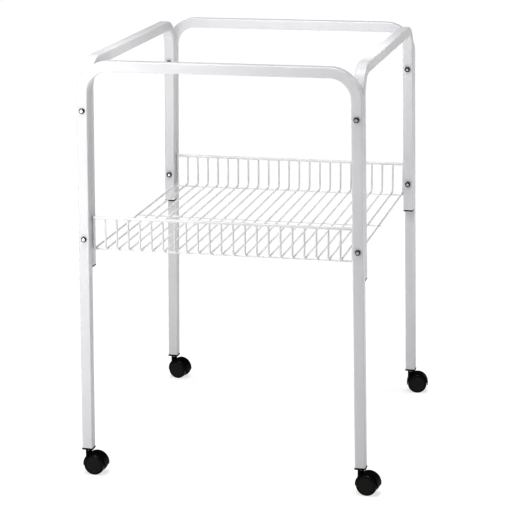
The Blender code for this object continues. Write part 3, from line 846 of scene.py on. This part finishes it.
def tab_rings(side):
    """A tab in the XZ plane about its bolt: square towards the shelf, round at the leg."""
    steps = 48
    edge = 0.0001
    reach = leg_x(middle("front_left_lower_bolt").z) - shelf_half_width() - TAB_INSET

    def outline(inset):
        points = []
        for turn in full_turn(steps):
            radius = TAB_HALF_HEIGHT
            if math.cos(turn) < 0:
                up = max(abs(math.sin(turn)), 0.001)
                radius = min(TAB_HALF_HEIGHT / up, reach / -math.cos(turn))
            radius -= inset
            points.append((side * radius * math.cos(turn), radius * math.sin(turn)))
        return points

    hole = [(side * BOLT_HOLE_RADIUS * math.cos(turn), BOLT_HOLE_RADIUS * math.sin(turn))
            for turn in full_turn(steps)]
    half = TAB_THICKNESS / 2
    layers = ((outline(edge), -half), (outline(0), edge - half), (outline(0), half - edge),
              (outline(edge), half), (hole, half), (hole, -half))
    return [[Vector((x, depth, z)) for x, z in points] for points, depth in layers]


def shelf_half_width():
    """From the shelf's middle to the middle of its end wires."""
    low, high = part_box("shelf_front_rail")
    return (high.x - low.x) / 2 - WIRE_OVERHANG


def make_shelf():
    """The welded wire grid, and the rails along the tops of its walls."""
    front = middle("shelf_front_rail")
    back = middle("shelf_back_rail")
    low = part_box("shelf_wire_grid")[0]
    half = shelf_half_width()
    floor = low.z + 3 * WIRE_RADIUS - WELD_DEPTH
    top = front.z - RAIL_RADIUS
    pitch = 2 * half / (WIRE_COUNT - 1)
    columns = [front.x - half + pitch * number for number in range(WIRE_COUNT)]
    rows = (front.y + CROSS_WIRE_INSET, (front.y + back.y) / 2, back.y - CROSS_WIRE_INSET)
    cross_height = low.z + WIRE_RADIUS
    shape = bmesh.new()
    for x in columns:
        bent_wire(shape, x, front.y, back.y, floor, top)
    for y in rows:
        ends = [Vector((front.x + side * (half + WIRE_OVERHANG), y, cross_height)) for side in (-1, 1)]
        line = [ends[0]] + [Vector((x, y, cross_height)) for x in columns] + [ends[1]]
        rounded_wire(shape, line, Vector((0, 1, 0)), WIRE_RADIUS, 14)
        for x in columns:
            weld(shape, (x, y, (floor + cross_height) / 2), *FLOOR_BEAD)
    for corner in CORNERS:
        bolt = middle(corner + "_lower_bolt")
        y = (front if end_of(corner) < 0 else back).y
        place = Matrix.Translation((bolt.x, y, bolt.z))
        rings = [[place @ point for point in points] for points in tab_rings(side_of(corner))]
        skin(shape, rings, loop=True)
        for height in (-TAB_BEAD_HEIGHT, TAB_BEAD_HEIGHT):
            x = front.x + side_of(corner) * (half + WIRE_RADIUS)
            weld(shape, (x, y, bolt.z + height), *TAB_BEAD)
    add_piece("shelf_wires", finished(shape, "shelf_wires", 50), "white_coated_wire", "shelf_wire_grid")
    for end_name, centre in (("front", front), ("back", back)):
        node = "shelf_" + end_name + "_rail"
        low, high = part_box(node)
        shape = bmesh.new()
        line = [Vector((low.x, centre.y, centre.z))]
        line += [Vector((x, centre.y, centre.z)) for x in columns[1:-1]]
        line.append(Vector((high.x, centre.y, centre.z)))
        rounded_wire(shape, line, Vector((0, 1, 0)), RAIL_RADIUS, 24)
        for x in columns:
            weld(shape, (x, centre.y, top + 0.0002), *RAIL_BEAD)
        add_piece(node + "_rod", finished(shape, node, 50), "white_coated_wire", node)


# Castors

def stem_mesh(top):
    """The castor's pin along Z, with its collar and a shallow groove for the grip ring."""
    collar_top = FLANGE_TOP - SOCKET_FLANGE_HEIGHT - RUNNING_GAP
    collar = COLLAR_RADIUS
    groove = STEM_RADIUS - 0.0002
    profile = [(0.0005, STEM_FOOT), (STEM_RADIUS - 0.0006, STEM_FOOT), (STEM_RADIUS, STEM_FOOT + 0.0006),
               (STEM_RADIUS, collar_top - 0.0010), (collar - 0.0002, collar_top - 0.0010),
               (collar, collar_top - 0.0008), (collar, collar_top - 0.0002), (collar - 0.0002, collar_top),
               (STEM_RADIUS, collar_top), (STEM_RADIUS, LEG_END + 0.0041), (groove, LEG_END + 0.0043),
               (groove, LEG_END + 0.0149), (STEM_RADIUS, LEG_END + 0.0151)]
    profile += rounding(STEM_RADIUS - 0.0010, top - 0.0010, 0.0010, 0, 90, 5)
    profile.append((0.0005, top))
    return turned(profile, "stem", 36)


def socket_mesh(length):
    """A square plug along +Z with a flange below z = 0 and a stepped hole for the stem."""
    flange = SOCKET_FLANGE
    edge = 0.0005
    entry = STEM_RADIUS + RUNNING_GAP
    body = TUBE_BORE - 2 * RUNNING_GAP
    foot = -SOCKET_FLANGE_HEIGHT
    outside = [square_ring(flange + 2 * inset, TUBE_EDGE, foot + height)
               for inset, height in rounding(-edge, edge, edge, 270, 360, 3)]
    outside += [square_ring(flange + 2 * inset, TUBE_EDGE, height)
                for inset, height in rounding(-edge, -edge, edge, 0, 90, 3)]
    outside += [square_ring(body, PLUG_CORNER, 0.0), square_ring(body, PLUG_CORNER, length - PLUG_CORNER),
                square_ring(body - PLUG_TAPER, PLUG_CORNER, length)]
    inside = [(SOCKET_BORE_RADIUS, length), (SOCKET_BORE_RADIUS, 0.0048), (entry, 0.0042),
              (entry, foot + 0.0004), (entry + 0.0004, foot)]
    rings = outside + [round_ring_beside(outside[0], radius, height) for radius, height in inside]
    return skinned(rings, "castor_socket", loop=True)


def grip_ring_mesh(height):
    """A split ring of spring steel along +Z."""
    inner = STEM_RADIUS + RUNNING_GAP
    outer = inner + GRIP_RING_THICKNESS
    half_slot = math.asin(GRIP_RING_HALF_SLOT / outer)
    edge = 0.0001
    rings = []
    for step in range(37):
        turn = half_slot + (math.tau - 2 * half_slot) * step / 36
        section = ((inner + edge, 0), (outer - edge, 0), (outer, edge), (outer, height - edge),
                   (outer - edge, height), (inner + edge, height), (inner, height - edge), (inner, edge))
        rings.append([polar(radius, turn, z) for radius, z in section])
    return skinned(rings, "grip_ring")


def on_axle(turn, radius, lateral):
    """A point about the castor's axle, in the castor's own frame."""
    return Vector((CASTOR_TRAIL + radius * math.cos(turn), lateral, WHEEL_RADIUS + radius * math.sin(turn)))


def fender_section():
    """The fender's section as (radius, lateral): round shoulders and a fine mould line on top."""
    top, under = HOOD_RADIUS, HOOD_RADIUS - HOOD_WALL
    shoulder, lip = 0.0011, 0.0004
    side = HOOD_HALF_WIDTH
    half = [(top + 0.0001, 0.0001), (top, 0.0003), (top, 0.0050)]
    half += [(radius, lateral) for lateral, radius
             in rounding(side - shoulder, top - shoulder, shoulder, 90, 0, 5)]
    half += [(radius, lateral) for lateral, radius in rounding(side - lip, under + lip, lip, 0, -90, 3)]
    half.append((under, 0.0050))
    return half + [(radius, -lateral) for radius, lateral in half[::-1]]


def fender_mesh():
    """The curved cover over both wheels."""
    section = fender_section()
    centre = sum(radius for radius, lateral in section) / len(section)
    start, end = -HOOD_END_ANGLE, math.pi + HOOD_END_ANGLE
    tips = ((0.0, 0.55), (0.010, 0.85), (0.030, 1.0))    # angle in from the tip, and thickness there

    def tip_ring(turn, shrink):
        return [on_axle(turn, centre + (radius - centre) * shrink, lateral * (0.9 + 0.1 * shrink))
                for radius, lateral in section]

    rings = [tip_ring(start + inset, shrink) for inset, shrink in tips]
    steps = 44
    for step in range(1, steps):
        turn = start + (end - start) * step / steps
        rings.append([on_axle(turn, radius, lateral) for radius, lateral in section])
    rings += [tip_ring(end - inset, shrink) for inset, shrink in tips[::-1]]
    return skinned(rings, "castor_hood")


def web_mesh():
    """The web between the wheels, with a round boss for the axle."""
    dome = [(math.pi * (step / 28), HOOD_RADIUS - HOOD_WALL / 2) for step in range(29)]
    boss = [(math.radians(200 + 140 * step / 12), WEB_BOSS_RADIUS) for step in range(13)]
    edge = 0.0005
    rings = []
    for inset, lateral in ((edge, -WEB_HALF_WIDTH), (0, edge - WEB_HALF_WIDTH),
                           (0, WEB_HALF_WIDTH - edge), (edge, WEB_HALF_WIDTH)):
        rings.append([on_axle(turn, radius - inset, lateral) for turn, radius in dome + boss])
    return skinned(rings, "web")


def hood_height(x):
    """Height of the fender's top at a distance x from the swivel axis."""
    return WHEEL_RADIUS + math.sqrt(max(HOOD_RADIUS ** 2 - (x - CASTOR_TRAIL) ** 2, 0.0))


def neck_mesh():
    """The neck round the stem, with a fillet that follows the fender."""
    fillet = 0.0014
    steps = 48

    def saddle(radius, lift):
        return [polar(radius, turn, hood_height(radius * math.cos(turn)) + lift)
                for turn in full_turn(steps)]

    rings = [saddle(NECK_RADIUS + fillet - 0.0004, -0.0010)]
    for step in range(7):
        turn = math.pi / 2 * step / 6
        rings.append(saddle(NECK_RADIUS + fillet * (1 - math.sin(turn)),
                            fillet * (1 - math.cos(turn)) - 0.00005))
    top_edge = 0.0006
    rings.append(ring(NECK_RADIUS, NECK_TOP - 0.0014, steps))
    rings += [ring(radius, height, steps) for radius, height
              in rounding(NECK_RADIUS - top_edge, NECK_TOP - top_edge, top_edge, 0, 90, 4)]
    return skinned(rings, "neck")


def hood_mesh():
    """The castor's body: fender, web and neck in one, bored for the stem and the axle."""
    body = carved(fender_mesh(), [web_mesh(), neck_mesh()], "UNION")
    bore = STEM_RADIUS + RUNNING_GAP
    stem_hole = turned([(bore, STEM_FOOT - RUNNING_GAP), (bore, NECK_TOP - 0.0005),
                        (bore + 0.0010, NECK_TOP + 0.0005)], "stem_hole", 36)
    axle_hole = turned([(AXLE_RADIUS + RUNNING_GAP, -0.03), (AXLE_RADIUS + RUNNING_GAP, 0.03)],
                       "axle_hole", 32)
    axle_hole.transform(along_y((CASTOR_TRAIL, 0, WHEEL_RADIUS)))
    return carved(body, [stem_hole, axle_hole], angle=32)


def wheel_mesh():
    """A wheel along +Z: inner face at z = 0, domed outer face with a step near its rim."""
    thick = WHEEL_OUTER_FACE - WHEEL_INNER_FACE
    bore = AXLE_RADIUS + RUNNING_GAP
    bore_end = AXLE_HALF_LENGTH + RUNNING_GAP - WHEEL_INNER_FACE
    face = thick - WHEEL_DOME_DROP
    step_at = WHEEL_DOME_RADIUS
    dome = step_at - 0.0006
    profile = [(bore, 0.0), (bore, bore_end - 0.0003), (0.0006, bore_end)][::-1]
    profile += [(WHEEL_HUB_RADIUS, 0.0), (WHEEL_HUB_RADIUS, 0.0062), (0.0060, 0.0068), (0.0155, 0.0062),
                (0.0164, 0.0056), (WHEEL_HOLLOW_RADIUS, 0.0003), (0.0173, 0.0)]
    profile += rounding(WHEEL_RADIUS - WHEEL_EDGE, WHEEL_EDGE, WHEEL_EDGE, 270, 360, 4)
    profile.append((WHEEL_RADIUS, 0.0035))
    shoulder = 0.0040
    across = shoulder * 0.62
    profile += [(WHEEL_RADIUS - across + across * math.cos(turn),
                 face - 0.0001 - shoulder + shoulder * math.sin(turn))
                for turn in [math.radians(90 * step / 10) for step in range(11)]]
    profile += [(step_at + 0.0012, face), (step_at + 0.0006, face + 0.0001),
                (step_at + 0.0003, face - 0.0003), (step_at - 0.0003, face - 0.0003),
                (dome, face + 0.0002)]
    for step in range(8, 0, -1):
        radius = dome * step / 9
        profile.append((radius, thick - (WHEEL_DOME_DROP - 0.0002) * (radius / dome) ** 2))
    profile.append((0.0006, thick))
    return turned(profile, "castor_wheel", 72)


def axle_mesh():
    """The axle along +Z, with chamfered ends."""
    end = 0.0005
    profile = [(0.0005, -AXLE_HALF_LENGTH), (AXLE_RADIUS - end, -AXLE_HALF_LENGTH),
               (AXLE_RADIUS, end - AXLE_HALF_LENGTH), (AXLE_RADIUS, AXLE_HALF_LENGTH - end),
               (AXLE_RADIUS - end, AXLE_HALF_LENGTH), (0.0005, AXLE_HALF_LENGTH)]
    return turned(profile, "axle", 32)


def make_castors():
    """Four castors, each turned the way its wheels are parked."""
    first = CORNERS[0] + "_castor"
    stem = stem_mesh(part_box(first + "_stem")[1].z)
    socket = socket_mesh(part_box(first + "_socket")[1].z - FLANGE_TOP)
    low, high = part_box(first + "_grip_ring")
    grip_foot = low.z
    grip_ring = grip_ring_mesh(high.z - low.z)
    hood, wheel, axle = hood_mesh(), wheel_mesh(), axle_mesh()
    for corner in CORNERS:
        castor = corner + "_castor"
        pivot = middle(castor + "_stem")
        hub = middle(castor + "_axle")
        heading = math.atan2(hub.y - pivot.y, hub.x - pivot.x)
        foot = Matrix.Translation((pivot.x, pivot.y, 0))
        parked = foot @ Matrix.Rotation(heading, 4, "Z")
        socket_place = Matrix.Translation((pivot.x, pivot.y, FLANGE_TOP)) @ leaning(corner)
        ring_place = Matrix.Translation((pivot.x, pivot.y, grip_foot))
        add_piece(castor + "_stem_pin", stem, "zinc_plated_pin", castor + "_stem", foot)
        add_piece(castor + "_socket_plug", socket, "black_moulded_plastic", castor + "_socket", socket_place)
        add_piece(castor + "_grip_spring", grip_ring, "zinc_plated_pin", castor + "_grip_ring", ring_place)
        add_piece(castor + "_hood_shell", hood, "black_moulded_plastic", castor + "_hood", parked)
        axle_place = parked @ along_y((CASTOR_TRAIL, 0, WHEEL_RADIUS))
        add_piece(castor + "_axle_pin", axle, "zinc_plated_pin", castor + "_axle", axle_place)
        for name, side in (("front", -1), ("back", 1)):
            inner = (CASTOR_TRAIL, side * WHEEL_INNER_FACE, WHEEL_RADIUS)
            place = parked @ along_y(inner, towards_front=side < 0)
            node = castor + "_" + name + "_wheel"
            add_piece(node + "_disc", wheel, "black_wheel_plastic", node, place)


# Stage

def make_floor():
    """A wide pale floor."""
    finish = Finish("pale_floor", {"Specular IOR Level": 0.0, "Roughness": 0.9,
                                   "Emission Color": shade(1.0, 1.0, 1.0), "Emission Strength": FLOOR_GLOW})
    cloudy = finish.spread(finish.noise(0.4, 2.0), 0.0, 1.0)
    finish.put("Base Color", finish.blend(cloudy, shade(0.24, 0.24, 0.24), shade(0.25, 0.25, 0.25)))
    shape = bmesh.new()
    bmesh.ops.create_circle(shape, cap_ends=True, segments=128, radius=FLOOR_RADIUS)
    mesh = bpy.data.meshes.new("floor")
    shape.to_mesh(mesh)
    shape.free()
    mesh.materials.append(finish.material)
    floor = bpy.data.objects.new("floor", mesh)
    bpy.context.scene.collection.objects.link(floor)


def aim(obj, target):
    """Turns a light's -Z towards a point."""
    obj.rotation_euler = (Vector(target) - obj.location).to_track_quat("-Z", "Y").to_euler()


def add_light(kind, name, place, target, energy, **settings):
    lamp = bpy.data.lights.new(name, kind)
    lamp.energy = energy
    for key, value in settings.items():
        setattr(lamp, key, value)
    light = bpy.data.objects.new(name, lamp)
    bpy.context.scene.collection.objects.link(light)
    light.location = place
    light.visible_camera = False
    aim(light, target)


def make_surround():
    """A studio surround, white at the horizon and dim overhead."""
    world = bpy.data.worlds.new("studio")
    bpy.context.scene.world = world
    world.use_nodes = True
    tree = world.node_tree
    place = tree.nodes.new("ShaderNodeTexCoord")
    parts = tree.nodes.new("ShaderNodeSeparateXYZ")
    fade = tree.nodes.new("ShaderNodeMapRange")
    fade.interpolation_type = "SMOOTHSTEP"
    for key, value in (("From Min", FADE_START), ("From Max", FADE_END), ("To Min", 1.0), ("To Max", SKY)):
        fade.inputs[key].default_value = value
    tree.links.new(place.outputs["Generated"], parts.inputs[0])
    tree.links.new(parts.outputs["Z"], fade.inputs["Value"])
    surround = tree.nodes["Background"]
    surround.inputs["Color"].default_value = shade(1.0, 1.0, 1.0)
    tree.links.new(fade.outputs["Result"], surround.inputs["Strength"])


def make_light():
    """An overhead light, softboxes at the front left and above, and weak strips at the right."""
    make_surround()
    add_light("SUN", "overhead", (0, 0, 4), (0, 0, 0), SUN_POWER, angle=math.radians(15))
    add_light("AREA", "key", (-0.48, -0.95, 0.66), (-0.2, -0.2, 0.5), KEY_POWER,
              shape="RECTANGLE", size=0.3, size_y=1.25)
    add_light("AREA", "top", (-0.2, -0.85, 1.75), (0, 0.05, 0.8), TOP_POWER,
              shape="RECTANGLE", size=1.0, size_y=0.6)
    add_light("AREA", "back_bar", (0.1, -0.2, 1.0), (0.05, 0.31, 0.79), BACK_BAR_POWER,
              shape="RECTANGLE", size=0.6, size_y=0.12)
    for name, y in (("front_strip", -0.31), ("back_strip", 0.31)):
        add_light("AREA", name, (0.5, y, 0.45), (0.25, y, 0.45), STRIP_POWER,
                  shape="RECTANGLE", size=0.12, size_y=0.6)


def make_camera():
    camera = bpy.data.cameras.new("camera")
    camera.sensor_width = 36.0
    camera.lens = CAMERA_LENS
    camera.clip_end = 200.0
    view = bpy.data.objects.new("camera", camera)
    bpy.context.scene.collection.objects.link(view)
    view.matrix_world = (Matrix.Translation(CAMERA_PLACE)
                         @ Matrix.Rotation(CAMERA_TURN, 4, "Z")
                         @ Matrix.Rotation(math.pi / 2 - CAMERA_PITCH, 4, "X")
                         @ Matrix.Rotation(CAMERA_ROLL, 4, "Z"))
    bpy.context.scene.camera = view


make_hoops()
make_fasteners()
make_leg_plugs()
make_shelf()
make_castors()
make_floor()
make_light()
make_camera()
bpy.context.scene.view_settings.view_transform = "Standard"
bpy.context.scene.view_settings.gamma = VIEW_GAMMA
